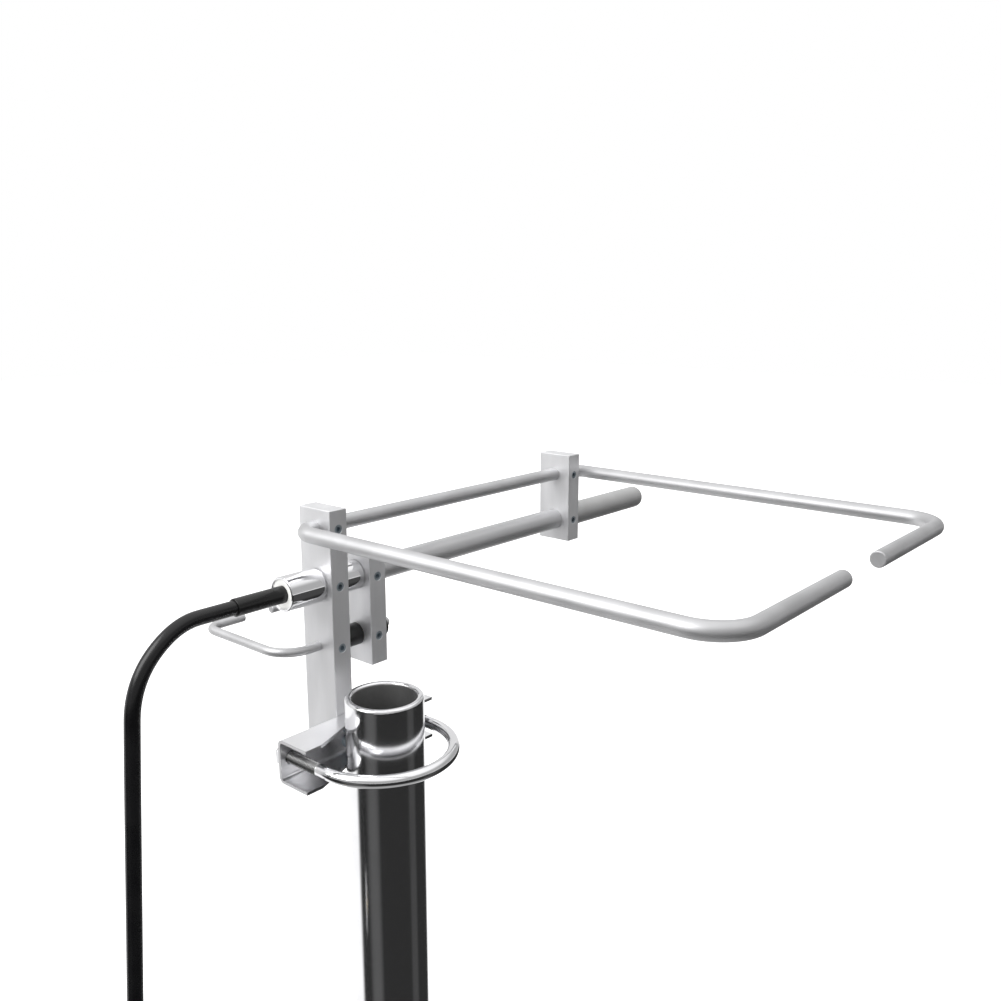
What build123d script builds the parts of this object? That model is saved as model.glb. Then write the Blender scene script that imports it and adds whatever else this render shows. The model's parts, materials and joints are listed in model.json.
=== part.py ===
from build123d import *
import math
import os

# A dual-band horizontally polarised loop antenna on a mast stub. Sizes are in millimetres.
# +X runs along the rods that pass through the bars, +Y points from the mast to the bars, +Z is up.
# The origin is on the mast's axis, at its lower end.

os.makedirs("parts", exist_ok=True)

# Clearances
running_gap = 0.05  # radial, round a shaft that slides or turns
fitted_gap = 0.03  # radial, round a piece that is held in a bore
moving_gap = 0.3  # between faces of pieces that move past each other

# Mast
mast_diameter = 50.0
mast_wall = 4.5
mast_length = 300.0
mast_rim_share = 0.42  # the rounded upper rim's radius, as a share of the wall
depth_mark_height = 60.0
depth_mark_width = 3.0
depth_mark_depth = 0.5

# Bars: flat aluminium, thickness along X and width along Y
bar_thickness = 14.0
bar_width = 30.0
bar_edge_radius = 0.6
rod_line_y = 53.6
large_loop_z = 400.7
feed_drop = 37.7
small_loop_drop = 79.0
main_bar_above = 12.7
large_short_x = 250.3
large_short_above = 16.7
large_short_below = 54.8
small_short_x = 32.1
small_short_above = 16.4
small_short_below = 98.4

# Large loop: a round rod bent to a rectangle with a gap in its front side
large_rod_diameter = 10.0
large_loop_width = 291.0
large_loop_depth = 300.0
large_loop_overhang = 14.3
large_loop_gap = 49.0
large_near_radius = 14.0
large_far_radius = 12.0
large_front_radius = 24.0

# Small loop: a thinner rod that reaches the other way
small_rod_diameter = 6.0
small_loop_width = 90.5
small_loop_depth = 86.3
small_loop_overhang = 27.5
small_gap_start = 30.2
small_loop_gap = 23.1
small_near_radius = 19.4
small_far_radius = 8.0
small_front_radius = 10.0
rod_end_round = 0.8

# Insulating sleeve between the small loop's rod and its shorting bar
sleeve_diameter = 15.1
sleeve_length = 40.8
sleeve_edge_radius = 0.5

# Feed housing and what is inside it
housing_overhang = 27.8
housing_shoulder = 1.0
housing_step = 1.1
housing_wall = 1.5
barrel_wall = 1.8
housing_rim_radius = 0.6
barrel_edge_radius = 0.8
liner_wall = 0.45
liner_lead = 2.0
bush_recess = 0.8
bush_length = 12.0
braid_clamp_length = 9.0
dielectric_diameter = 7.2
inner_conductor_diameter = 2.3
stripped_length = 16.0
terminal_diameter = 9.0
terminal_length = 16.0
terminal_gap = 1.0

# Gamma match
gamma_tube_diameter = 16.5
gamma_tube_wall = 2.0
gamma_tube_end_x = 345.0
gamma_rod_diameter = 5.0
gamma_rod_end_x = 320.0
end_cap_wall = 1.2
end_cap_length = 110.0
end_cap_round = 6.0
end_cap_play = 0.5

# Saddle: a channel with a shallow V across both flanges
saddle_length = 108.0
saddle_height = 28.8
saddle_depth = 27.0
saddle_sheet = 2.0
saddle_bend_radius = 2.0
saddle_drop = 122.7
saddle_slope = 19.7  # of each side of the V, in degrees from X
saddle_screw_spacing = 10.4

# U-bolt
u_bolt_diameter = 8.0
u_bolt_spacing = 91.5
u_bolt_hole_play = 1.2
u_bolt_centre_y = 3.45
u_bolt_end_y = 48.5
u_bolt_chamfer = 0.9
nut_flats_over_rod = 1.625
nut_height = 4.0
nut_corner_turning = 0.25
nut_cone_share = 0.4
nut_turn = 30.0  # so that a flat of each nut faces along X
washer_over_rod = 1.875
washer_thickness = 1.0
washer_play = 0.9
nut_gap = 0.1

# Screws
set_screw_diameter = 6.0
set_screw_recess = 0.3
socket_flats = 3.0
socket_depth = 3.0
shortest_socket_wall = 0.8
countersink = 0.15
cap_screw_diameter = 5.0
cap_screw_head = 9.5
cap_screw_head_height = 2.75
cap_screw_depth = 10.0
cap_screw_crown_share = 0.6
cap_screw_socket = 3.0
cap_screw_socket_depth = 1.6
cap_screw_hole_spare = 0.5

# Cable
cable_diameter = 9.2
boot_wall = 1.0
boot_length = 34.8
boot_rim_radius = 0.5

corner_share = 0.45  # of the shorter run beside a corner, that the corner's arc takes

# Coax plug on the cable's far end
ferrule_wall = 1.6
ferrule_length = 14.0
ferrule_edge_radius = 0.5
plug_back_diameter = 15.0
plug_back_length = 9.0
plug_waist_diameter = 13.4
plug_waist_length = 6.0
plug_collar_diameter = 17.2
plug_collar_length = 3.0
plug_front_diameter = 13.0
plug_front_length = 12.0
contact_sleeve_diameter = 8.2
contact_sleeve_bore = 7.0
contact_sleeve_length = 18.0
coupling_diameter = 20.5
coupling_length = 20.0
coupling_thread_diameter = 15.6
coupling_lip = 2.2
coupling_edge_chamfer = 0.8
knurl_count = 36
knurl_depth = 0.45
knurl_margin = 2.5
snap_ring_wire = 1.2
gasket_thickness = 1.8
plug_pin_diameter = 3.0
plug_pin_tip_diameter = 1.65
plug_pin_length = 14.0
plug_pin_chamfer = 0.4
plug_insulator_length = 6.0

# Cutting tools reach past what they cut by this much, and stacked pieces of one solid share this much
overcut = 1.0
shared_depth = 0.5

# Sizes that follow from others
boot_diameter = cable_diameter + 2 * boot_wall
ferrule_diameter = cable_diameter + 2 * ferrule_wall
housing_neck_diameter = gamma_tube_diameter + 2 * (liner_wall + housing_wall)
housing_barrel_diameter = housing_neck_diameter + 2 * housing_step
end_cap_diameter = gamma_tube_diameter + 2 * end_cap_wall
u_bolt_hole = u_bolt_diameter + u_bolt_hole_play
washer_hole = u_bolt_diameter + washer_play
washer_diameter = washer_over_rod * u_bolt_diameter
nut_flats = nut_flats_over_rod * u_bolt_diameter

# Places worked out from the sizes
bar_near_x = -bar_thickness / 2
bar_far_x = bar_thickness / 2
bar_face_y = rod_line_y - bar_width / 2
feed_z = large_loop_z - feed_drop
small_loop_z = large_loop_z - small_loop_drop
saddle_top_z = large_loop_z - saddle_drop
saddle_bottom_z = saddle_top_z - saddle_height
saddle_middle_z = saddle_top_z - saddle_height / 2
saddle_front_y = bar_face_y - saddle_depth
large_short_near_x = bar_near_x + large_short_x
small_short_near_x = bar_near_x + small_short_x
large_left_x = bar_near_x - large_loop_overhang
large_right_x = large_left_x + large_loop_width
large_front_y = rod_line_y - large_loop_depth
small_left_x = bar_near_x - small_loop_overhang
small_right_x = small_left_x + small_loop_width
small_front_y = rod_line_y + small_loop_depth
housing_near_x = bar_near_x - housing_overhang
housing_far_x = small_short_near_x - moving_gap
bush_near_x = housing_near_x + bush_recess
bush_far_x = bush_near_x + bush_length
boot_near_x = housing_near_x - boot_length
cable_exit = (boot_near_x, rod_line_y, feed_z)

# Free cable: its points, straight out of the boot, over one bend and down beside the mast
cable_route = [
    cable_exit,
    (boot_near_x - 39.7, rod_line_y, feed_z),
    (boot_near_x - 67.8, rod_line_y - 0.1, feed_z - 27.0),
    (boot_near_x - 71.4, rod_line_y - 0.4, feed_z - 70.0),
    (boot_near_x - 77.9, rod_line_y - 1.4, feed_z - 154.5),
    (boot_near_x - 82.6, rod_line_y - 2.4, feed_z - 213.0),
    (boot_near_x - 85.0, rod_line_y - 2.9, feed_z - 245.0),
    (boot_near_x - 85.0, rod_line_y - 2.9, feed_z - 275.0),
]
cable_end = cable_route[-1]


def along_x(diameter, start, end, y, z):
    turned = Pos(start, y, z) * Rot(0, 90, 0)
    return turned * Cylinder(diameter / 2, end - start, align=(Align.CENTER, Align.CENTER, Align.MIN))


def along_y(diameter, start, end, x, z):
    turned = Pos(x, start, z) * Rot(-90, 0, 0)
    return turned * Cylinder(diameter / 2, end - start, align=(Align.CENTER, Align.CENTER, Align.MIN))


def along_z(diameter, start, end, x, y):
    return Pos(x, y, start) * Cylinder(
        diameter / 2, end - start, align=(Align.CENTER, Align.CENTER, Align.MIN)
    )


def ring_x(outer, bore, start, end, y, z):
    return along_x(outer, start, end, y, z) - along_x(bore, start - overcut, end + overcut, y, z)


def hexagon(flats):
    return RegularPolygon(flats / math.sqrt(3), 6)


def save(name, *solids):
    shape = solids[0] if len(solids) == 1 else Compound(children=list(solids))
    export_step(shape, f"parts/{name}.step")


def flat_bar(near_x, bottom, top):
    # One length of flat bar, upright, with its edges eased
    block = Pos(near_x, bar_face_y, bottom) * Box(
        bar_thickness, bar_width, top - bottom, align=(Align.MIN, Align.MIN, Align.MIN)
    )
    return fillet(block.edges(), bar_edge_radius)


def screw_hole(centre_x, z, end_y):
    # A tapped hole from the bar's front face, with a small countersink at its mouth
    mouth = Pos(centre_x, bar_face_y - overcut, z) * Rot(-90, 0, 0) * Cone(
        set_screw_diameter / 2 + countersink + overcut,
        set_screw_diameter / 2,
        countersink + overcut,
        align=(Align.CENTER, Align.CENTER, Align.MIN),
    )
    return along_y(set_screw_diameter + 2 * fitted_gap, bar_face_y - overcut, end_y, centre_x, z) + mouth


def set_screw(centre_x, z, tip_y):
    # A headless screw with a hexagon socket, a little below the bar's front face
    start = bar_face_y + set_screw_recess
    body = along_y(set_screw_diameter, start, tip_y, centre_x, z)
    depth = min(socket_depth, tip_y - start - shortest_socket_wall)
    socket = Pos(centre_x, start, z) * Rot(-90, 0, 0) * extrude(hexagon(socket_flats), depth)
    return body - socket


def drilled_bar(near_x, bottom, top, bores, gap):
    # bores: (height, diameter of what passes along X); each gets a set screw from the front face
    bar = flat_bar(near_x, bottom, top)
    centre_x = near_x + bar_thickness / 2
    bar_end_x = near_x + bar_thickness
    screws = []
    for height, diameter in bores:
        bar -= along_x(diameter + 2 * gap, near_x - overcut, bar_end_x + overcut, rod_line_y, height)
        bar -= screw_hole(centre_x, height, rod_line_y)
        tip = rod_line_y - diameter / 2 - (moving_gap if gap == running_gap else fitted_gap)
        screws.append(set_screw(centre_x, height, tip))
    return bar, screws


# Mast: a round tube with a rounded upper rim, and a turned ring that marks how deep its foot goes in
mast = along_z(mast_diameter, 0, mast_length, 0, 0)
mast -= along_z(mast_diameter - 2 * mast_wall, -overcut, mast_length + overcut, 0, 0)
mast = fillet(mast.edges().group_by(Axis.Z)[-1], mast_rim_share * mast_wall)
mark_top = depth_mark_height + depth_mark_width
mark = along_z(mast_diameter + 2 * overcut, depth_mark_height, mark_top, 0, 0)
mark_core = mast_diameter - 2 * depth_mark_depth
mark -= along_z(mark_core, depth_mark_height - overcut, mark_top + overcut, 0, 0)
save("mast_tube", mast - mark)

# Bars and their set screws
main_bottom = saddle_bottom_z
main_bores = [
    (large_loop_z, large_rod_diameter),
    (feed_z, housing_neck_diameter),
    (small_loop_z, small_rod_diameter),
]
main_bar, main_screws = drilled_bar(
    bar_near_x, main_bottom, large_loop_z + main_bar_above, main_bores, fitted_gap
)
cap_screw_heights = [saddle_middle_z + side * saddle_screw_spacing / 2 for side in (-1, 1)]
cap_screw_hole_end = bar_face_y + cap_screw_depth + cap_screw_hole_spare
for height in cap_screw_heights:
    main_bar -= along_y(
        cap_screw_diameter + 2 * fitted_gap, bar_face_y - overcut, cap_screw_hole_end, 0, height
    )
save("main_bar", main_bar)
save("main_bar_set_screws", *main_screws)

large_short, large_short_screws = drilled_bar(
    large_short_near_x,
    large_loop_z - large_short_below,
    large_loop_z + large_short_above,
    [(large_loop_z, large_rod_diameter), (feed_z, gamma_tube_diameter)],
    running_gap,
)
save("large_shorting_bar", large_short)
save("large_shorting_bar_screws", *large_short_screws)

small_short, small_short_screws = drilled_bar(
    small_short_near_x,
    large_loop_z - small_short_below,
    feed_z + small_short_above,
    [(feed_z, gamma_tube_diameter), (small_loop_z, sleeve_diameter)],
    running_gap,
)
save("small_shorting_bar", small_short)
save("small_shorting_bar_screws", *small_short_screws)


def bent_rod(points, radii, diameter):
    # A round rod bent at every inner point, with both ends rounded off
    path = FilletPolyline(*points, radius=radii)
    rod = sweep(Plane(origin=path @ 0, z_dir=path % 0) * Circle(diameter / 2), path=path)
    ends = [e for e in rod.edges().filter_by(GeomType.CIRCLE) if abs(e.length - math.pi * diameter) < 0.01]
    tips = [min(ends, key=lambda e: (e.center() - at).length) for at in (path @ 0, path @ 1)]
    return fillet(tips, rod_end_round)


# Large loop: its back side runs through the main bar and the large shorting bar
large_gap_middle = large_left_x + large_loop_width / 2
large_loop = bent_rod(
    [
        (large_gap_middle - large_loop_gap / 2, large_front_y, large_loop_z),
        (large_left_x, large_front_y, large_loop_z),
        (large_left_x, rod_line_y, large_loop_z),
        (large_right_x, rod_line_y, large_loop_z),
        (large_right_x, large_front_y, large_loop_z),
        (large_gap_middle + large_loop_gap / 2, large_front_y, large_loop_z),
    ],
    [large_front_radius, large_near_radius, large_far_radius, large_front_radius],
    large_rod_diameter,
)
save("large_loop_rod", large_loop)

# Small loop: through the main bar and the insulating sleeve, with its gap away from the mast
small_gap_x = small_left_x + small_gap_start
small_loop = bent_rod(
    [
        (small_gap_x, small_front_y, small_loop_z),
        (small_left_x, small_front_y, small_loop_z),
        (small_left_x, rod_line_y, small_loop_z),
        (small_right_x, rod_line_y, small_loop_z),
        (small_right_x, small_front_y, small_loop_z),
        (small_gap_x + small_loop_gap, small_front_y, small_loop_z),
    ],
    [small_front_radius, small_near_radius, small_far_radius, small_front_radius],
    small_rod_diameter,
)
save("small_loop_rod", small_loop)
sleeve_bore = small_rod_diameter + 2 * fitted_gap
sleeve_far_x = bar_far_x + sleeve_length
sleeve = ring_x(sleeve_diameter, sleeve_bore, bar_far_x, sleeve_far_x, rod_line_y, small_loop_z)
sleeve_end = sleeve.edges().group_by(Axis.X)[-1]
save("small_loop_sleeve", fillet(sleeve_end, sleeve_edge_radius))

# Feed housing: a barrel outside the main bar and a neck through it
barrel_bore = housing_barrel_diameter - 2 * barrel_wall
neck_bore = housing_neck_diameter - 2 * housing_wall
barrel_far_x = bar_near_x - housing_shoulder
barrel_inner_end = bar_near_x - 2 * housing_shoulder
barrel = along_x(housing_barrel_diameter, housing_near_x, barrel_far_x, rod_line_y, feed_z)
barrel = fillet(barrel.edges().group_by(Axis.X)[-1], barrel_edge_radius)
neck_near_x = barrel_far_x - shared_depth
housing = barrel + along_x(housing_neck_diameter, neck_near_x, housing_far_x, rod_line_y, feed_z)
housing -= along_x(barrel_bore, housing_near_x - overcut, barrel_inner_end, rod_line_y, feed_z)
neck_bore_near_x = barrel_inner_end - shared_depth
housing -= along_x(neck_bore, neck_bore_near_x, housing_far_x + overcut, rod_line_y, feed_z)
housing = fillet(housing.edges().group_by(Axis.X)[0], housing_rim_radius)
save("feed_housing", housing)

# Cable end inside the housing: bush, boot, held cable, braid clamp, stripped dielectric and conductor
save(
    "cable_bush",
    ring_x(barrel_bore - 2 * fitted_gap, boot_diameter + 2 * fitted_gap, bush_near_x, bush_far_x,
           rod_line_y, feed_z),
)
boot = ring_x(boot_diameter, cable_diameter + 2 * fitted_gap, boot_near_x, bush_far_x, rod_line_y, feed_z)
boot_rim = boot.edges().group_by(Axis.X)[0].sort_by(SortBy.LENGTH)[-1]
save("cable_boot", fillet(boot_rim, boot_rim_radius))
save("cable_lead_in", along_x(cable_diameter, boot_near_x, bush_far_x, rod_line_y, feed_z))
clamp_far_x = bush_far_x + braid_clamp_length
save(
    "braid_clamp",
    ring_x(neck_bore - 2 * fitted_gap, dielectric_diameter + 2 * fitted_gap, bush_far_x, clamp_far_x,
           rod_line_y, feed_z),
)
dielectric_far_x = bush_far_x + stripped_length
terminal_near_x = dielectric_far_x + terminal_gap
terminal_far_x = terminal_near_x + terminal_length
conductor_far_x = terminal_near_x + terminal_length / 3
gamma_rod_near_x = terminal_near_x + terminal_length / 2
conductor = along_x(inner_conductor_diameter, bush_far_x, conductor_far_x, rod_line_y, feed_z)
dielectric = along_x(dielectric_diameter, bush_far_x, dielectric_far_x, rod_line_y, feed_z)
save("cable_dielectric", dielectric - conductor)
save("cable_inner_conductor", conductor)
terminal = along_x(terminal_diameter, terminal_near_x, terminal_far_x, rod_line_y, feed_z) - conductor
terminal -= along_x(
    gamma_rod_diameter + 2 * fitted_gap, gamma_rod_near_x, terminal_far_x + overcut, rod_line_y, feed_z
)
save("feed_terminal", terminal)

# Gamma match: an inner rod in a dielectric tube, inside the outer tube that the shorting bars clamp
gamma_bore = gamma_tube_diameter - 2 * gamma_tube_wall
gamma_tube_near_x = terminal_far_x + terminal_gap
gamma_tube = ring_x(
    gamma_tube_diameter, gamma_bore, gamma_tube_near_x, gamma_tube_end_x, rod_line_y, feed_z
)
save("gamma_tube", gamma_tube)
save(
    "gamma_tube_liner",
    ring_x(neck_bore - 2 * fitted_gap, gamma_tube_diameter + 2 * fitted_gap, gamma_tube_near_x - liner_lead,
           housing_far_x, rod_line_y, feed_z),
)
save(
    "gamma_dielectric",
    ring_x(gamma_bore - 2 * fitted_gap, gamma_rod_diameter + 2 * fitted_gap, gamma_tube_near_x,
           gamma_tube_end_x, rod_line_y, feed_z),
)
save("gamma_rod", along_x(gamma_rod_diameter, gamma_rod_near_x, gamma_rod_end_x, rod_line_y, feed_z))
cap_near_x = large_short_near_x + bar_thickness + moving_gap
cap_far_x = cap_near_x + end_cap_length
end_cap = along_x(end_cap_diameter, cap_near_x, cap_far_x, rod_line_y, feed_z)
end_cap = fillet(end_cap.edges().group_by(Axis.X)[-1], end_cap_round)
cap_bore_end_x = gamma_tube_end_x + end_cap_play
end_cap -= along_x(
    gamma_tube_diameter + 2 * fitted_gap, cap_near_x - overcut, cap_bore_end_x, rod_line_y, feed_z
)
save("gamma_end_cap", end_cap)

# Saddle: folded channel whose web bears on the main bar; the V across its flanges takes the mast
fold_outer = saddle_bend_radius + saddle_sheet


def channel_block(front, back, bottom, top, length, radius):
    block = Pos(0, front, bottom) * Box(
        length, back - front, top - bottom, align=(Align.CENTER, Align.MIN, Align.MIN)
    )
    folds = block.edges().filter_by(Axis.X).group_by(Axis.Y)[-1]
    return fillet(folds, radius)


saddle = channel_block(
    saddle_front_y, bar_face_y, saddle_bottom_z, saddle_top_z, saddle_length, fold_outer
)
saddle -= channel_block(
    saddle_front_y - fold_outer - overcut,
    bar_face_y - saddle_sheet,
    saddle_bottom_z + saddle_sheet,
    saddle_top_z - saddle_sheet,
    saddle_length + 2 * overcut,
    saddle_bend_radius,
)
slope = math.radians(saddle_slope)
notch_depth_y = (mast_diameter / 2 + running_gap) / math.cos(slope)
notch_mouth_y = saddle_front_y - overcut
notch_half_width = (notch_depth_y - notch_mouth_y) / math.tan(slope)
notch = extrude(
    Plane.XY.offset(saddle_bottom_z - overcut)
    * make_face(
        Polyline(
            (-notch_half_width, notch_mouth_y),
            (0, notch_depth_y),
            (notch_half_width, notch_mouth_y),
            close=True,
        )
    ),
    saddle_height + 2 * overcut,
)
saddle -= notch
half_spacing = u_bolt_spacing / 2
web_holes = [(u_bolt_hole, side * half_spacing, saddle_middle_z) for side in (-1, 1)]
web_holes += [(cap_screw_diameter + 2 * moving_gap, 0, height) for height in cap_screw_heights]
for diameter, x, z in web_holes:
    saddle -= along_y(diameter, bar_face_y - 2 * saddle_sheet, bar_face_y + overcut, x, z)
save("saddle", saddle)


def cap_screw(height):
    # A button-head screw through the saddle's web into the main bar
    seat = bar_face_y - saddle_sheet
    head = along_y(cap_screw_head, seat - cap_screw_head_height, seat, 0, height)
    head = fillet(head.edges().group_by(Axis.Y)[0], cap_screw_crown_share * cap_screw_head_height)
    shank = along_y(cap_screw_diameter, seat, bar_face_y + cap_screw_depth, 0, height)
    socket = Pos(0, seat - cap_screw_head_height, height) * Rot(-90, 0, 0) * extrude(
        hexagon(cap_screw_socket), cap_screw_socket_depth
    )
    return head + shank - socket


save("saddle_screws", *[cap_screw(height) for height in cap_screw_heights])

# U-bolt, with a washer and a thin nut behind the web on each leg
left_end, left_bend, right_bend, right_end = [
    (side * half_spacing, y, saddle_middle_z)
    for side, y in ((-1, u_bolt_end_y), (-1, u_bolt_centre_y), (1, u_bolt_centre_y), (1, u_bolt_end_y))
]
u_bolt_crown = (0, u_bolt_centre_y - half_spacing, saddle_middle_z)
u_path = (
    Line(left_end, left_bend)
    + ThreePointArc(left_bend, u_bolt_crown, right_bend)
    + Line(right_bend, right_end)
)
u_start = Plane(origin=left_end, z_dir=(0, -1, 0))
u_bolt = sweep(u_start * Circle(u_bolt_diameter / 2), path=u_path)
save("u_bolt", chamfer(u_bolt.edges().group_by(Axis.Y)[-1], u_bolt_chamfer))

washer_far_y = bar_face_y + washer_thickness
nut_far_y = washer_far_y + nut_height
leg_places = (-half_spacing, half_spacing)


def leg_ring(outer, bore, start, end, x):
    ring = along_y(outer, start, end, x, saddle_middle_z)
    return ring - along_y(bore, start - overcut, end + overcut, x, saddle_middle_z)


def hex_nut(x):
    plane = Pos(x, washer_far_y, saddle_middle_z) * Rot(-90, 0, 0) * Rot(0, 0, nut_turn)
    nut = plane * extrude(hexagon(nut_flats), nut_height)
    # The corners are turned off to a cone at the outer face
    cone_height = nut_cone_share * nut_flats
    cone_end = nut_flats / 2 + nut_corner_turning
    turned = Pos(0, nut_height - cone_height, 0) * plane * Cone(
        cone_end + cone_height * math.sqrt(3),
        cone_end,
        cone_height,
        align=(Align.CENTER, Align.CENTER, Align.MIN),
    )
    bore_diameter = u_bolt_diameter + 2 * nut_gap
    bore = along_y(bore_diameter, washer_far_y - overcut, nut_far_y + overcut, x, saddle_middle_z)
    return (nut & turned) - bore


washers = [leg_ring(washer_diameter, washer_hole, bar_face_y, washer_far_y, x) for x in leg_places]
save("u_bolt_washers", *washers)
save("u_bolt_nuts", *[hex_nut(x) for x in leg_places])

# Free cable: straight runs joined by arcs as large as the runs allow
cable_radii = []
cable_length = 0.0
corner_cut = 0.0
for before, corner, after in zip(cable_route, cable_route[1:], cable_route[2:]):
    run_in = Vector(*corner) - Vector(*before)
    run_out = Vector(*after) - Vector(*corner)
    half_turn = math.radians(run_in.get_angle(run_out)) / 2
    trim = corner_share * min(run_in.length, run_out.length)
    radius = trim / math.tan(half_turn)
    cable_radii.append(radius)
    corner_cut += 2 * trim - 2 * half_turn * radius
for start, end in zip(cable_route, cable_route[1:]):
    cable_length += (Vector(*end) - Vector(*start)).length
cable_length -= corner_cut
cable_path = FilletPolyline(*cable_route, radius=cable_radii)
cable = sweep(Plane(origin=cable_exit, z_dir=(-1, 0, 0)) * Circle(cable_diameter / 2), path=cable_path)
save("cable", cable)
print("cable radii", [round(radius, 1) for radius in cable_radii])
print("cable length", round(cable_length, 1), "volume over section times length",
      round(cable.volume / (math.pi * cable_diameter**2 / 4 * cable_length), 4))

# Coax plug, hanging straight down from the cable's end
plug_x, plug_y, plug_z = cable_end


def plug_ring(outer, bore, top, bottom):
    solid = along_z(outer, plug_z - bottom, plug_z - top, plug_x, plug_y)
    if bore:
        solid -= along_z(bore, plug_z - bottom - overcut, plug_z - top + overcut, plug_x, plug_y)
    return solid


back_end = plug_back_length
waist_end = back_end + plug_waist_length
collar_end = waist_end + plug_collar_length
front_end = collar_end + plug_front_length
sleeve_tip = collar_end + contact_sleeve_length
ferrule = plug_ring(ferrule_diameter, cable_diameter + 2 * fitted_gap, -ferrule_length, 0)
ferrule_edge = ferrule.edges().group_by(Axis.Z)[-1].sort_by(SortBy.LENGTH)[-1]
save("plug_ferrule", fillet(ferrule_edge, ferrule_edge_radius))
plug_body = plug_ring(plug_back_diameter, 0, 0, back_end)
plug_body += plug_ring(plug_waist_diameter, 0, back_end - shared_depth, waist_end)
plug_body += plug_ring(plug_collar_diameter, 0, waist_end, collar_end)
plug_body += plug_ring(plug_front_diameter, 0, collar_end - shared_depth, front_end)
plug_body += plug_ring(contact_sleeve_diameter, 0, front_end - shared_depth, sleeve_tip)
plug_body -= plug_ring(contact_sleeve_bore, 0, waist_end, sleeve_tip + overcut)
save("plug_body", plug_body)
insulator_end = waist_end + plug_insulator_length
insulator_outer = contact_sleeve_bore - 2 * fitted_gap
insulator_bore = plug_pin_diameter + 2 * fitted_gap
save("plug_insulator", plug_ring(insulator_outer, insulator_bore, waist_end, insulator_end))
plug_pin = plug_ring(plug_pin_diameter, 0, waist_end, insulator_end)
pin_tip_start = insulator_end - shared_depth
pin_tip = plug_ring(plug_pin_tip_diameter, 0, pin_tip_start, waist_end + plug_pin_length)
plug_pin += chamfer(pin_tip.edges().group_by(Axis.Z)[0], plug_pin_chamfer)
save("plug_pin", plug_pin)

# Coupling nut: turns on the collar, held by the snap ring above it
lip_bore = plug_waist_diameter + 2 * moving_gap
nut_top = waist_end - moving_gap - coupling_lip
nut_bottom = nut_top + coupling_length
coupling = plug_ring(coupling_diameter, lip_bore, nut_top, nut_bottom)
coupling -= plug_ring(
    plug_collar_diameter + 2 * running_gap, 0, nut_top + coupling_lip, collar_end + moving_gap
)
coupling -= plug_ring(coupling_thread_diameter, 0, collar_end, nut_bottom + overcut)
for end in (-1, 0):
    rim = coupling.edges().group_by(Axis.Z)[end].sort_by(SortBy.LENGTH)[-1]
    coupling = chamfer(rim, coupling_edge_chamfer)
groove_radius = coupling_diameter / 2 + knurl_depth
for step in range(knurl_count):
    angle = 2 * math.pi * step / knurl_count
    coupling -= along_z(
        4 * knurl_depth,
        plug_z - nut_bottom + knurl_margin,
        plug_z - nut_top - knurl_margin,
        plug_x + groove_radius * math.cos(angle),
        plug_y + groove_radius * math.sin(angle),
    )
save("plug_coupling_nut", coupling)
ring_top = nut_top - moving_gap - snap_ring_wire
snap_ring_outer = plug_waist_diameter + 2 * snap_ring_wire
snap_ring_bore = plug_waist_diameter + 2 * fitted_gap
save("plug_snap_ring", plug_ring(snap_ring_outer, snap_ring_bore, ring_top, ring_top + snap_ring_wire))
gasket_outer = coupling_thread_diameter - 2 * moving_gap
gasket_bore = plug_front_diameter + 2 * fitted_gap
gasket_end = collar_end + gasket_thickness
save("plug_gasket", plug_ring(gasket_outer, gasket_bore, collar_end, gasket_end))
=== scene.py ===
# %% [markdown]
# # A loop antenna on a mast stub
# This lesson dresses a imported CAD model so that it looks like the real thing. The antenna is two
# bent aluminium loops, three drilled flat bars, a feed housing with its cable, and a polished
# saddle and U-bolt that clamp it to a tube. The CAD shapes are already right, so most of the work
# is in the finishes, the lights, and the few shapes that CAD leaves plain: the cable that bends,
# and the screw threads. The imported model loads first.

# %% Load the imported model
import bpy
import json
import math
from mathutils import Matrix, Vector


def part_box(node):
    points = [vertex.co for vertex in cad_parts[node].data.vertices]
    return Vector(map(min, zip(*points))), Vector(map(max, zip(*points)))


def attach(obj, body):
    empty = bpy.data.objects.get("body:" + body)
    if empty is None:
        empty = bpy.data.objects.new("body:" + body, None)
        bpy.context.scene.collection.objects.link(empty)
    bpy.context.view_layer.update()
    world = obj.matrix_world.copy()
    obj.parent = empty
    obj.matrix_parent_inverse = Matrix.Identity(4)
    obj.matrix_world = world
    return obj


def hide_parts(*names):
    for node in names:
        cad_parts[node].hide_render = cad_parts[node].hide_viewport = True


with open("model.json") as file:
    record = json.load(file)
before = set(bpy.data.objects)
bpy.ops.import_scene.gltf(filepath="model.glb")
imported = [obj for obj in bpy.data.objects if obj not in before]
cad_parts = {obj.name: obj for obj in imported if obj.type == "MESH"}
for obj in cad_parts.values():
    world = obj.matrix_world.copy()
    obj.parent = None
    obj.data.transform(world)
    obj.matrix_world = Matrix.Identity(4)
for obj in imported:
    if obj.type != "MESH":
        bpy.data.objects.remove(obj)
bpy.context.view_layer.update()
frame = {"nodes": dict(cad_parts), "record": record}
nodes = frame["nodes"]
scene = bpy.context.scene
print("pieces in the packed model:", len(nodes))

# %% [markdown]
# ## The camera
# A camera in Blender looks along its own -Z, so it starts out looking straight down. Turning it
# 90 degrees about X lets it look at the horizon, and a little less than that tips it down. The
# turn about Z then picks the side it looks from. It stands at the front left, a little above the
# loops, as near as someone who reaches for them. The lens is a 35 mm one, wide enough to see from
# the end of the large loop to the cable.

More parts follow.
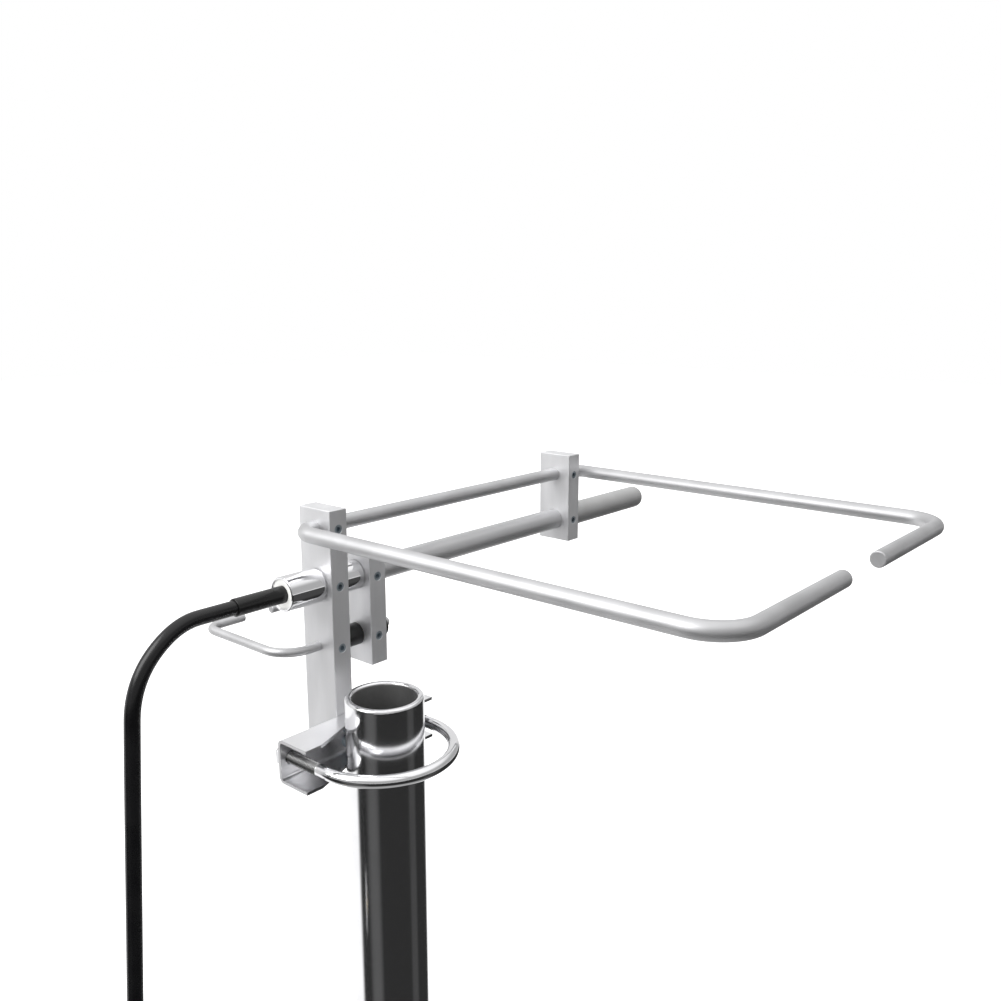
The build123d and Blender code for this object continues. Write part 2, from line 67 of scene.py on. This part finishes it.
# %% Camera
camera_place = (-0.39426, -0.43223, 0.54684)
camera_heading = math.radians(40.48)
camera_dip = math.radians(11.89)
camera_data = bpy.data.cameras.new("camera")
camera_data.lens = 35.505
camera_data.sensor_width = 36
camera = bpy.data.objects.new("camera", camera_data)
camera.location = camera_place
camera.rotation_euler = (math.pi / 2 - camera_dip, 0, camera_heading - math.pi / 2)
scene.collection.objects.link(camera)
scene.camera = camera
print("camera at", camera_place)

# %% [markdown]
# ## The cable
# A coaxial cable of this thickness is stiff: it leaves its sleeve straight, turns down in one wide
# bend, and then hangs beside the mast under its own weight. A NURBS curve suits it, because its
# line is smooth everywhere and needs only a few control points. Order 3 keeps the line close to
# its points, and the end point option makes it start and end exactly on the first and last. Both
# are set after the points are there, because before that Blender has nothing to count them by. The
# second point lies in line with the exit: without it, the curve would start to bend at once.

# %% Cable
cable_diameter = 0.0092
cable_exit = (-0.0696, 0.0536, 0.3630)
cable_route = [
    cable_exit,
    (-0.0780, 0.0536, 0.3630),
    (-0.1093, 0.0536, 0.3630),
    (-0.1374, 0.0535, 0.3360),
    (-0.1410, 0.0532, 0.2930),
    (-0.1475, 0.0522, 0.2085),
    (-0.1522, 0.0512, 0.1500),
    (-0.1546, 0.0507, 0.1180),
    (-0.1546, 0.0507, 0.0880),
]


def nurbs_cord(name, route, diameter):
    """A round cord along the route's control points."""
    data = bpy.data.curves.new(name, "CURVE")
    data.dimensions = "3D"
    data.bevel_depth = 1.0
    data.bevel_resolution = 9
    data.use_fill_caps = True
    data.resolution_u = 24
    line = data.splines.new("NURBS")
    line.points.add(len(route) - 1)
    for point, place in zip(line.points, route):
        point.co = (*place, 1)
        point.radius = diameter / 2
    line.order_u = 3
    line.use_endpoint_u = True
    cord = bpy.data.objects.new(name, data)
    scene.collection.objects.link(cord)
    return cord


cable = nurbs_cord("cable_jacket", cable_route, cable_diameter)
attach(cable, "antenna")
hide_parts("cable")
print("cable control points:", len(cable_route))

# %% [markdown]
# ## Writing nodes as arithmetic
# A finish is a graph of small nodes. Clicking them together is fine for one material, but a page
# of `links.new` lines hides the idea. Here one small class wraps a socket, and its operators add
# Math nodes, so `1 - mask * 0.4` builds the two nodes it reads like. Colours don't go through
# Math, which would turn them grey, so they have a mix of their own. Everything else comes from
# one method, `node`, which sets a node's choices first and then its values and links.

# %% Sockets that can be added and multiplied


class Socket:
    """One output socket; arithmetic on it adds Math nodes to its tree."""

    def __init__(self, tree, source):
        self.tree = tree
        self.source = source

    def math(self, operation, *others):
        values = dict(enumerate((self, *others)))
        return self.tree.node("ShaderNodeMath", {"operation": operation}, values)[0]

    def __add__(self, other):
        return self.math("ADD", other)

    def __sub__(self, other):
        return self.math("SUBTRACT", other)

    def __rsub__(self, other):
        return self.math("MULTIPLY_ADD", -1.0, other)

    def __mul__(self, other):
        return self.math("MULTIPLY", other)

    def __truediv__(self, other):
        return self.math("DIVIDE", other)

    __radd__ = __add__
    __rmul__ = __mul__

    def __abs__(self):
        return self.math("ABSOLUTE")

    def between(self, low, high):
        """0 where this is at or under low, 1 at or over high, with a smooth step between."""
        return self.tree.node(
            "ShaderNodeMapRange",
            {"interpolation_type": "SMOOTHSTEP", "clamp": True},
            {"Value": self, "From Min": low, "From Max": high},
        )[0]


class Outputs:
    """A node's outputs, by number or by name."""

    def __init__(self, tree, made):
        self.tree = tree
        self.made = made

    def __getitem__(self, key):
        return Socket(self.tree, self.made.outputs[key])


class Tree:
    """A node tree of a material, a world or a Geometry Nodes group."""

    def __init__(self, data):
        self.data = data

    def node(self, kind, settings=None, values=None):
        """Adds a node: its settings first, then the values or links of its sockets."""
        made = self.data.nodes.new(kind)
        for name, setting in (settings or {}).items():
            if name == "stops":
                self.set_stops(made.color_ramp, setting)
            else:
                setattr(made, name, setting)
        for key, value in (values or {}).items():
            socket = made.inputs[key]
            if isinstance(value, Socket):
                self.data.links.new(value.source, socket)
            else:
                socket.default_value = value
        return Outputs(self, made)

    def set_stops(self, ramp, stops):
        while len(ramp.elements) > 1:
            ramp.elements.remove(ramp.elements[-1])
        ramp.elements[0].position = stops[0][0]
        for place, _ in stops[1:]:
            ramp.elements.new(place)
        for element, (_, grey) in zip(ramp.elements, stops):
            element.color = (grey, grey, grey, 1)

    def mix_colour(self, factor, low, high):
        return self.node(
            "ShaderNodeMix", {"data_type": "RGBA"}, {0: factor, 6: low, 7: high}
        )[2]

    def places(self, stretch=(1, 1, 1)):
        """Object coordinates in metres, with each axis multiplied by its stretch."""
        coordinates = self.node("ShaderNodeTexCoord")["Object"]
        return self.node("ShaderNodeMapping", None, {"Vector": coordinates, "Scale": stretch})[0]

    def axes(self):
        """The three Object coordinates, each on its own."""
        split = self.node("ShaderNodeSeparateXYZ", None, {0: self.node("ShaderNodeTexCoord")["Object"]})
        return split[0], split[1], split[2]

    def noise(self, stretch, detail=3.0, roughness=0.5):
        """Noise from 0 to 1; stretch says how many cells there are in a metre of each axis."""
        return self.node(
            "ShaderNodeTexNoise",
            {"noise_dimensions": "3D"},
            {"Vector": self.places(stretch), "Scale": 1.0, "Detail": detail, "Roughness": roughness},
        )["Fac"]


print("operators ready")

# %% [markdown]
# ## A light room for metal
# Bare metal has hardly any colour of its own: it shows the room. So the room is designed first.
# The metal mirrors a white ceiling, a white wall behind the antenna that is dimmer above the
# horizon, and a grey floor straight below. The front is nearly black low down, which is what
# makes polished tube look black and crisp, and mid grey higher up. A bright line along the
# horizon, a faint grey wall on the left and a faint, narrow window at the front right break it
# up. The camera itself sees plain white. The world isn't sampled as a lamp, because that would
# mix the two pictures.

# %% World
back_wall_heading = math.radians(75)
side_wall_heading = math.radians(185)
window_heading = math.radians(-54)
front_level = 0.03
upper_front_light = 0.42
horizon_light = 0.8
side_wall_light = 0.08
window_light = 0.04
back_wall_level = 1.18
back_wall_dimming = 0.35
ground_level = 0.42
ceiling_level = 1.15


def room_brightness(tree, direction):
    """How bright the room is in each direction, as metal sees it."""
    height = tree.node("ShaderNodeSeparateXYZ", None, {0: direction})[2]
    level = tree.node("ShaderNodeVectorMath", {"operation": "MULTIPLY"}, {0: direction, 1: (1, 1, 0)})[0]
    level = tree.node("ShaderNodeVectorMath", {"operation": "NORMALIZE"}, {0: level})[0]

    def facing(heading):
        towards = (math.cos(heading), math.sin(heading), 0)
        return tree.node(
            "ShaderNodeVectorMath", {"operation": "DOT_PRODUCT"}, {0: level, 1: towards}
        )["Value"]

    back_wall = facing(back_wall_heading).between(0.42, 0.60)
    side_wall = facing(side_wall_heading).between(0.92, 1.0)
    window = facing(window_heading).between(0.965, 0.995)
    upper = height.between(-0.04, 0.03)
    horizon = height.between(-0.07, -0.04) * (1 - height.between(-0.01, 0.02))
    ceiling = height.between(0.45, 0.78)
    ground = 1 - height.between(-0.95, -0.72)
    front = front_level + upper * upper_front_light + horizon * horizon_light
    front = front + side_wall * side_wall_light + window * window_light
    walls = front + back_wall * (back_wall_level - upper * back_wall_dimming - front)
    walls = walls + ground * (ground_level - walls)
    return walls + ceiling * (ceiling_level - walls)


world = bpy.data.worlds.new("studio")
scene.world = world
world.use_nodes = True
world.cycles.sampling_method = "NONE"
world.node_tree.nodes.clear()
room = Tree(world.node_tree)
looking = room.node("ShaderNodeTexCoord")["Generated"]
seen = room.node("ShaderNodeLightPath")["Is Camera Ray"]
strength = room_brightness(room, looking)
strength = strength + seen * (1.0 - strength)
background = room.node("ShaderNodeBackground", None, {"Color": (1, 1, 1, 1), "Strength": strength})
room.node("ShaderNodeOutputWorld", None, {"Surface": background[0]})
scene.view_settings.view_transform = "Standard"
print("world nodes:", len(world.node_tree.nodes))

# %% [markdown]
# ## Floor and lamps
# The floor is one large pale sheet. It glows a little, so that it stays white in every view and
# keeps only a soft trace of shadow. It isn't seen in reflections, because the world already says
# what lies below. Area lamps give soft light: a large one high on the left is the key light, and
# its falloff makes the near end of the antenna brighter than the far end.

# %% Floor and lamps
floor_half = 6.0
floor_mesh = bpy.data.meshes.new("floor")
floor_corners = [
    (-floor_half, -floor_half, 0),
    (floor_half, -floor_half, 0),
    (floor_half, floor_half, 0),
    (-floor_half, floor_half, 0),
]
floor_mesh.from_pydata(floor_corners, [], [(0, 1, 2, 3)])
floor = bpy.data.objects.new("floor", floor_mesh)
scene.collection.objects.link(floor)
floor.visible_glossy = False
paper = bpy.data.materials.new("white_paper")
paper.use_nodes = True
paper_shader = paper.node_tree.nodes["Principled BSDF"]
paper_shader.inputs["Base Color"].default_value = (0.86, 0.86, 0.86, 1)
paper_shader.inputs["Roughness"].default_value = 0.9
paper_shader.inputs["Specular IOR Level"].default_value = 0.0
paper_shader.inputs["Emission Color"].default_value = (1, 1, 1, 1)
paper_shader.inputs["Emission Strength"].default_value = 0.75
floor_mesh.materials.append(paper)


def soft_lamp(name, place, target, size, watts):
    """A square area lamp at place that points at target."""
    data = bpy.data.lights.new(name, "AREA")
    data.shape = "SQUARE"
    data.size = size
    data.energy = watts
    lamp = bpy.data.objects.new(name, data)
    lamp.location = place
    lamp.rotation_euler = (Vector(target) - Vector(place)).to_track_quat("-Z", "Y").to_euler()
    scene.collection.objects.link(lamp)
    return lamp


key_lamp = soft_lamp("key_lamp", (-0.75, 0.25, 0.95), (0.0, 0.0, 0.35), 0.7, 7.0)
top_lamp = soft_lamp("top_lamp", (0.1, 0.1, 1.6), (0.1, 0.0, 0.35), 1.2, 0.8)
print("lamps:", key_lamp.name, top_lamp.name)

# %% [markdown]
# ## What every finish needs
# A finish is a Principled shader with a few sockets that change over the surface. Real metal isn't
# even: it has lines from the die or the polishing wheel, cloudy patches, and a little waviness.
# Each of these is noise that is stretched along the direction of the work, and it steers the
# roughness, the colour, or a very shallow bump. All patterns use Object coordinates in metres, so
# a stretch of 1500 means lines about two thirds of a millimetre apart.

# %% The finish class and the table it fills
finishes = {}


class Finish(Tree):
    """A material for one slot of the record, with its Principled shader."""

    def __init__(self, slot):
        self.material = bpy.data.materials.new(slot)
        self.material.use_nodes = True
        super().__init__(self.material.node_tree)
        self.shader = self.material.node_tree.nodes["Principled BSDF"]
        finishes[slot] = self.material

    def set(self, values):
        for key, value in values.items():
            socket = self.shader.inputs[key]
            if isinstance(value, Socket):
                self.data.links.new(value.source, socket)
            else:
                socket.default_value = value

    def bump(self, height, depth):
        """A bump whose full height is depth, in metres."""
        return self.node("ShaderNodeBump", None, {"Height": height, "Distance": depth, "Strength": 1.0})[0]


def grey(level, tint=(1, 1, 1)):
    """A colour of this brightness, a little tinted."""
    return (level * tint[0], level * tint[1], level * tint[2], 1)


cool = (0.985, 0.985, 1.0)
print("finish class ready")

# %% [markdown]
# ## Flat bar and rod
# The bars are cut from extruded flat bar. The die leaves fine lines along their length, which is
# upright here, so the noise is dense across and sparse along Z. The rods are drawn, and their
# lines run along the rod round every bend. There is a trick for that: both loops lie flat, so
# noise that is dense in Z and sparse in X and Y gives lines that follow the rod wherever it goes.
# Satin metal isn't fully metallic here: the small rest scatters light, as the fine lines do.

# %% Aluminium finishes
satin_metallic = 0.92


def aluminium(slot, lines_stretch, cloud_stretch, level, roughness, line_depth):
    """Satin aluminium with lines along one direction and soft cloudy patches."""
    made = Finish(slot)
    lines = made.noise(lines_stretch, detail=2.0)
    clouds = made.noise(cloud_stretch, detail=3.0)
    scuffs = made.noise((420, 420, 420), detail=2.0).between(0.62, 0.74)
    made.set(
        {
            "Base Color": made.mix_colour(
                clouds.between(0.3, 0.72), grey(level * 0.93, cool), grey(level * 1.04, cool)
            ),
            "Metallic": satin_metallic,
            "Roughness": roughness + (lines - 0.5) * 0.16 + (clouds - 0.5) * 0.10 + scuffs * 0.05,
            "Normal": made.bump(lines + scuffs * 0.25, line_depth),
        }
    )


aluminium("bar_aluminium", (1500, 1500, 22), (55, 55, 12), 0.84, 0.50, 0.000010)
aluminium("rod_aluminium", (26, 26, 1900), (40, 40, 130), 0.60, 0.50, 0.000006)
aluminium("tube_aluminium", (20, 1300, 1300), (14, 90, 90), 0.62, 0.48, 0.000006)
blasted = Finish("cap_aluminium")
pits = blasted.noise((2600, 2600, 2600), detail=2.0)
patches = blasted.noise((70, 70, 70), detail=3.0)
blasted.set(
    {
        "Base Color": blasted.mix_colour(patches, grey(0.58), grey(0.66)),
        "Metallic": 1.0,
        "Roughness": 0.66 + (pits - 0.5) * 0.14,
        "Normal": blasted.bump(pits, 0.00005),
    }
)
print("aluminium finishes:", len(finishes))

# %% [markdown]
# ## Polished steel
# A polished tube mirrors the room, so its finish is nearly all room. What sells it is what isn't
# perfect: faint lines along the tube, a haze where it was handled, and a waviness that bends the
# edges of the reflections. The saddle is polished sheet, but its sheared edges are duller, so those
# are found by their place: the front edges, the two ends, and the slopes of the V. Their dark grey
# is partly that duller metal and partly painted shade. The lower flange's edges get the full painted
# shade, and the upper flange's edges, which catch the light from above, get far less of it.

# %% Polished steel finishes


def polished(slot, level, roughness, lines_stretch, wave_stretch, wave_depth):
    """Polished metal; returns the finish with its colour and roughness as expressions."""
    made = Finish(slot)
    lines = made.noise(lines_stretch, detail=2.0)
    waves = made.noise(wave_stretch, detail=1.0)
    haze = made.noise((24, 24, 24), detail=3.0).between(0.42, 0.8)
    colour = made.mix_colour(haze, grey(level, cool), grey(level * 0.93, cool))
    rough = roughness + haze * 0.05 + (lines - 0.5) * 0.03
    normal = made.bump(waves + lines * 0.03, wave_depth)
    made.set({"Base Color": colour, "Metallic": 1.0, "Roughness": rough, "Normal": normal})
    return made, colour, rough


tube_bore = 0.0206
bore_grey = 0.42
tube, tube_colour, tube_rough = polished(
    "mast_steel", 0.86, 0.13, (1300, 1300, 14), (28, 28, 5), 0.00004
)
x, y, z = tube.axes()
inside = 1 - (x * x + y * y).between(tube_bore**2, tube_bore**2 * 1.02)
tube.set(
    {
        "Base Color": tube.mix_colour(inside, tube_colour, grey(bore_grey)),
        "Roughness": tube_rough + inside * 0.35,
    }
)
polished("chromed_brass", 0.82, 0.05, (1500, 30, 30), (60, 60, 60), 0.00003)
polished("nickel_plate", 0.70, 0.14, (60, 60, 1600), (80, 80, 80), 0.00002)

flange_front = 0.01165
flange_middle_z = 0.2636
saddle_end = 0.05385
v_depth = 0.02661
v_slope = math.tan(math.radians(19.7))
edge_blend = 0.0001
# The cut edges' dark grey is partly their duller sheared metal and partly painted shade.
sheared_edge_and_shade_grey = 0.20
upper_edge_shade_share = 0.15
end_edge_shade_share = 0.3
sheet, sheet_colour, sheet_rough = polished(
    "polished_steel", 0.92, 0.30, (40, 900, 900), (45, 45, 45), 0.00012
)
x, y, z = sheet.axes()
front = 1 - y.between(flange_front, flange_front + edge_blend)
ends = abs(x).between(saddle_end, saddle_end + edge_blend)
slopes = 1 - (y + abs(x) * v_slope).between(v_depth + 0.00005, v_depth + 0.0002)
lower_flange = 1 - z.between(flange_middle_z, flange_middle_z + 0.001)
edge_shade_share = upper_edge_shade_share + lower_flange * (1 - upper_edge_shade_share)
# Painted shade: the lower flange's front and V edges get the full dark grey, and the upper flange's edges
# and the two ends far less.
cut_edge_and_shade = front.math("MAXIMUM", slopes) * edge_shade_share
cut_edge_and_shade = cut_edge_and_shade.math("MAXIMUM", ends * end_edge_shade_share)
sheet.set(
    {
        "Base Color": sheet.mix_colour(cut_edge_and_shade, sheet_colour, grey(sheared_edge_and_shade_grey)),
        "Roughness": sheet_rough + cut_edge_and_shade * 0.25,
    }
)

thread_start_y = 0.0090
thread_grey = 0.36
bolt, bolt_colour, bolt_rough = polished(
    "polished_rod_steel", 0.86, 0.09, (700, 60, 700), (60, 60, 60), 0.00005
)
threaded = bolt.axes()[1].between(thread_start_y, thread_start_y + 0.001)
bolt.set(
    {
        "Base Color": bolt.mix_colour(threaded, bolt_colour, grey(thread_grey)),
        "Roughness": bolt_rough + threaded * 0.18,
    }
)
print("finishes so far:", len(finishes))

# %% [markdown]
# ## Screws, brass, and the rest of the metal
# The set screws are zinc plated, which gives a grey-blue skin with soft blotches. The parts inside
# the feed housing are plain turned brass and bare copper. All of them share one recipe: two tones
# mixed by noise, and turning lines across the axis they were turned on.

# %% Small metal parts
turning_depth = 0.00001


def turned(slot, low, high, roughness, lines_stretch):
    """Turned metal in two tones."""
    made = Finish(slot)
    blotches = made.noise((260, 260, 260), detail=3.0)
    lines = made.noise(lines_stretch, detail=1.0)
    made.set(
        {
            "Base Color": made.mix_colour(blotches.between(0.3, 0.7), (*low, 1), (*high, 1)),
            "Metallic": 1.0,
            "Roughness": roughness + (blotches - 0.5) * 0.12 + (lines - 0.5) * 0.06,
            "Normal": made.bump(lines, turning_depth),
        }
    )


turned("screw_steel", (0.40, 0.46, 0.50), (0.54, 0.60, 0.65), 0.50, (900, 900, 900))
turned("brass", (0.66, 0.50, 0.22), (0.80, 0.64, 0.32), 0.28, (2200, 30, 30))
turned("copper", (0.70, 0.36, 0.22), (0.84, 0.48, 0.32), 0.30, (2200, 30, 30))
turned("gold_plate", (0.86, 0.62, 0.24), (0.94, 0.74, 0.34), 0.18, (30, 30, 2200))
print("finishes so far:", len(finishes))

# %% [markdown]
# ## Plastic and rubber
# The cable jacket is smooth extruded plastic with a satin shine, and the sleeve shrunk over its
# end is rubbery and a little uneven. The insulator on the small loop is machined from black
# acetal, so it has fine rings. Black things look flat unless their roughness changes, because
# the highlight is all there is to see.

# %% Plastic and rubber finishes
patch_spread = 0.16
plastic_shine = 0.45


def moulded(slot, low, high, roughness, grain_stretch, grain_depth):
    """Plastic or rubber in two tones, with a grain that changes its shine."""
    made = Finish(slot)
    grain = made.noise(grain_stretch, detail=2.0)
    patches = made.noise((45, 45, 45), detail=3.0)
    made.set(
        {
            "Base Color": made.mix_colour(patches.between(0.3, 0.7), (*low, 1), (*high, 1)),
            "Roughness": roughness + (patches - 0.5) * patch_spread + (grain - 0.5) * 0.08,
            "Normal": made.bump(grain, grain_depth),
            "Specular IOR Level": plastic_shine,
        }
    )


moulded("black_jacket", (0.0025, 0.0025, 0.003), (0.0045, 0.0045, 0.005), 0.27, (700, 700, 700), 0.000012)
moulded("black_rubber", (0.0025, 0.0025, 0.0025), (0.0045, 0.0045, 0.0045), 0.28, (120, 400, 400), 0.00005)
moulded("black_plastic", (0.006, 0.006, 0.006), (0.011, 0.011, 0.011), 0.30, (3000, 30, 30), 0.000014)
moulded("white_plastic", (0.80, 0.80, 0.78), (0.88, 0.88, 0.86), 0.42, (1800, 60, 60), 0.00001)
moulded("gasket_rubber", (0.22, 0.05, 0.03), (0.30, 0.08, 0.05), 0.55, (900, 900, 900), 0.00002)
missing = [m["slot"] for m in frame["record"]["materials"] if m["slot"] not in finishes]
print("finishes:", len(finishes), "slots without one:", missing)

# %% [markdown]
# ## Dressing the CAD pieces
# The record says which slot every CAD piece belongs to. One loop gives each piece its finish by
# filling the material slots of its object, and leaves the mesh as it is.

# %% Finishes onto the CAD pieces
slot_of = {part["node"]: part["material_slot"] for part in frame["record"]["subparts"]}
for name, node in nodes.items():
    for material_slot in node.material_slots:
        material_slot.material = finishes[slot_of[name]]
cable.data.materials.append(finishes["black_jacket"])
print("dressed:", len(slot_of))

# %% [markdown]
# ## A Geometry Nodes tree as a tool
# Screw threads follow a rule, so Geometry Nodes make them. Each tree gets named inputs, as a tool
# has settings. Two helpers do what every tree needs: one opens a tree and lists its inputs, and
# one runs it on an object, turns the result into a plain mesh, and drops the modifier.

# %% Tools for Geometry Nodes


def new_tool(name, inputs):
    """Opens a Geometry Nodes tree; inputs is a list of (name, socket type).

    Returns the tree and its input sockets.
    """
    group = bpy.data.node_groups.new(name, "GeometryNodeTree")
    group.interface.new_socket("Geometry", in_out="INPUT", socket_type="NodeSocketGeometry")
    for label, kind in inputs:
        group.interface.new_socket(label, in_out="INPUT", socket_type=kind)
    group.interface.new_socket("Geometry", in_out="OUTPUT", socket_type="NodeSocketGeometry")
    tool = Tree(group)
    return tool, tool.node("NodeGroupInput")


def close_tool(tool, geometry, material):
    """Ends a tree in Realize Instances and Set Material."""
    real = tool.node("GeometryNodeRealizeInstances", None, {"Geometry": geometry})[0]
    painted = tool.node("GeometryNodeSetMaterial", None, {"Geometry": real, "Material": material})[0]
    tool.node("NodeGroupOutput", None, {"Geometry": painted})


def run_tool(tool, data, name, values):
    """Runs a tree on this data and returns its result as a plain mesh object."""
    source = bpy.data.objects.new(name + "_source", data)
    scene.collection.objects.link(source)
    modifier = source.modifiers.new("tool", "NODES")
    modifier.node_group = tool.data
    for item in tool.data.interface.items_tree:
        if item.in_out == "INPUT" and item.name in values:
            modifier[item.identifier] = values[item.name]
    ready = source.evaluated_get(bpy.context.evaluated_depsgraph_get())
    mesh = bpy.data.meshes.new_from_object(ready)
    mesh.name = name
    source.modifiers.clear()
    bpy.data.objects.remove(source)
    made = bpy.data.objects.new(name, mesh)
    scene.collection.objects.link(made)
    return made


print("tools ready")

# %% [markdown]
# ## The U-bolt and its threads
# The clamp's U-bolt is one polished rod, bent round, with a rolled thread on each leg. In CAD it is
# plain. Here the rod is drawn again along its own line: Curve to Mesh gives the rod, and then each
# point moves in towards the line by a depth that depends on how far along the rod and how far
# round it the point is. A triangle wave of those two makes the ridge wind round the leg, and the
# same sum gives both legs a right-hand thread.

# %% Tree for a threaded rod
rod_tool, rod_inputs = new_tool(
    "threaded_rod",
    [
        ("Rod radius", "NodeSocketFloat"),
        ("Pitch", "NodeSocketFloat"),
        ("Thread depth", "NodeSocketFloat"),
        ("Thread length", "NodeSocketFloat"),
        ("Chamfer", "NodeSocketFloat"),
        ("Rows", "NodeSocketInt"),
        ("Sides", "NodeSocketInt"),
        ("Material", "NodeSocketMaterial"),
    ],
)


def remember(tool, geometry, name, kind, value):
    """Stores a value on each point under this name."""
    return tool.node(
        "GeometryNodeStoreNamedAttribute",
        {"data_type": kind, "domain": "POINT"},
        {"Geometry": geometry, "Name": name, "Value": value},
    )[0]


def recall(tool, name, kind):
    """Reads what remember stored."""
    return tool.node("GeometryNodeInputNamedAttribute", {"data_type": kind}, {"Name": name})["Attribute"]


spline = rod_tool.node("GeometryNodeSplineParameter")
line = rod_tool.node(
    "GeometryNodeResampleCurve", None, {"Curve": rod_inputs["Geometry"], "Count": rod_inputs["Rows"]}
)[0]
total = rod_tool.node("GeometryNodeCurveLength", None, {"Curve": line})["Length"]
place = rod_tool.node("GeometryNodeInputPosition")[0]
line = remember(rod_tool, line, "along", "FLOAT", spline["Length"])
line = remember(rod_tool, line, "centre", "FLOAT_VECTOR", place)
ring = rod_tool.node(
    "GeometryNodeCurvePrimitiveCircle",
    None,
    {"Resolution": rod_inputs["Sides"], "Radius": rod_inputs["Rod radius"]},
)[0]
ring = remember(rod_tool, ring, "turn", "FLOAT", spline["Factor"])
rod = rod_tool.node(
    "GeometryNodeCurveToMesh", None, {"Curve": line, "Profile Curve": ring, "Fill Caps": True}
)[0]
along = recall(rod_tool, "along", "FLOAT")
from_end = along.math("MINIMUM", total - along)
wave = (along / rod_inputs["Pitch"] - recall(rod_tool, "turn", "FLOAT")).math("PINGPONG", 0.5) * 2
cut = wave.between(0.12, 1.0) * rod_inputs["Thread depth"]
run_out = from_end.between(
    rod_inputs["Thread length"] - rod_inputs["Pitch"], rod_inputs["Thread length"]
)
cut = cut * (1 - run_out)
cut = cut + (rod_inputs["Chamfer"] - from_end).math("MAXIMUM", 0.0)
centre = recall(rod_tool, "centre", "FLOAT_VECTOR")
outward = rod_tool.node("ShaderNodeVectorMath", {"operation": "SUBTRACT"}, {0: place, 1: centre})[0]
outward = rod_tool.node("ShaderNodeVectorMath", {"operation": "NORMALIZE"}, {0: outward})[0]
inward = rod_tool.node("ShaderNodeVectorMath", {"operation": "SCALE"}, {0: outward, "Scale": 0 - cut})[0]
rod = rod_tool.node("GeometryNodeSetPosition", None, {"Geometry": rod, "Offset": inward})[0]
rod = rod_tool.node("GeometryNodeSetShadeSmooth", None, {0: rod, "Shade Smooth": True})[0]
close_tool(rod_tool, rod, rod_inputs["Material"])
print("rod tree nodes:", len(rod_tool.data.nodes))

# %% [markdown]
# The rod's line comes from the CAD piece's own box: the legs stand at its two sides, and the half
# circle between them is as wide as the legs are apart. It is a poly curve with a point every few
# degrees, which is enough, because the tree resamples it.

# %% U-bolt
bolt_low, bolt_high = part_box("u_bolt")
bolt_radius = 0.004
bolt_pitch = 0.00125
bolt_thread_depth = 0.00062
bolt_chamfer = 0.0009
bolt_rows = 1400
bolt_sides = 32
leg_x = bolt_high.x - bolt_radius
leg_z = (bolt_low.z + bolt_high.z) / 2
arc_y = bolt_low.y + bolt_radius + leg_x
arc_steps = 96
bolt_line = [(-leg_x, bolt_high.y, leg_z)]
for step in range(arc_steps + 1):
    angle = math.pi + math.pi * step / arc_steps
    bolt_line.append((leg_x * math.cos(angle), arc_y + leg_x * math.sin(angle), leg_z))
bolt_line.append((leg_x, bolt_high.y, leg_z))


def poly_curve(name, places):
    """A curve of straight runs through these places."""
    data = bpy.data.curves.new(name, "CURVE")
    data.dimensions = "3D"
    run = data.splines.new("POLY")
    run.points.add(len(places) - 1)
    for point, spot in zip(run.points, places):
        point.co = (*spot, 1)
    return data


u_bolt = run_tool(
    rod_tool,
    poly_curve("u_bolt_line", bolt_line),
    "u_bolt_threaded",
    {
        "Rod radius": bolt_radius,
        "Pitch": bolt_pitch,
        "Thread depth": bolt_thread_depth,
        "Thread length": bolt_high.y - thread_start_y,
        "Chamfer": bolt_chamfer,
        "Rows": bolt_rows,
        "Sides": bolt_sides,
        "Material": finishes["polished_rod_steel"],
    },
)
for face in u_bolt.data.polygons:
    face.use_smooth = len(face.vertices) == 4
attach(u_bolt, "u_bolt")
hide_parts("u_bolt")
print("u-bolt faces:", len(u_bolt.data.polygons))

# %% [markdown]
# ## The thread in the coupling nut
# The nut on the plug screws onto a jack, so its bore has a thread too. Here a second tree is
# simpler: a spiral curve with a small four-sided section, half sunk in the wall of the bore, so
# that only a ridge shows. It starts one pitch above the nut's open end.

# %% Tree and thread for the coupling nut
ridge_tool, ridge_inputs = new_tool(
    "ridge_in_bore",
    [
        ("Bore radius", "NodeSocketFloat"),
        ("Pitch", "NodeSocketFloat"),
        ("Turns", "NodeSocketFloat"),
        ("Ridge", "NodeSocketFloat"),
        ("Foot", "NodeSocketVector"),
        ("Material", "NodeSocketMaterial"),
    ],
)
spiral = ridge_tool.node(
    "GeometryNodeCurveSpiral",
    None,
    {
        "Resolution": 40,
        "Rotations": ridge_inputs["Turns"],
        "Start Radius": ridge_inputs["Bore radius"],
        "End Radius": ridge_inputs["Bore radius"],
        "Height": ridge_inputs["Turns"] * ridge_inputs["Pitch"],
        "Reverse": True,
    },
)[0]
section = ridge_tool.node(
    "GeometryNodeCurvePrimitiveCircle", None, {"Resolution": 4, "Radius": ridge_inputs["Ridge"]}
)[0]
ridge = ridge_tool.node(
    "GeometryNodeCurveToMesh", None, {"Curve": spiral, "Profile Curve": section, "Fill Caps": True}
)[0]
ridge = ridge_tool.node(
    "GeometryNodeTransform", None, {"Geometry": ridge, "Translation": ridge_inputs["Foot"]}
)[0]
close_tool(ridge_tool, ridge, ridge_inputs["Material"])

nut_low, nut_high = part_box("plug_coupling_nut")
nut_bore_radius = 0.0078
nut_ridge = 0.00035
thread_pitch = 0.001
thread_turns = 11.0
thread_foot = (
    (nut_low.x + nut_high.x) / 2,
    (nut_low.y + nut_high.y) / 2,
    nut_low.z + thread_pitch,
)
nut_thread = run_tool(
    ridge_tool,
    bpy.data.meshes.new("nut_thread_start"),
    "coupling_nut_thread",
    {
        "Bore radius": nut_bore_radius,
        "Pitch": thread_pitch,
        "Turns": thread_turns,
        "Ridge": nut_ridge,
        "Foot": thread_foot,
        "Material": finishes["nickel_plate"],
    },
)
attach(nut_thread, "coupling_nut")
print("thread faces:", len(nut_thread.data.polygons))
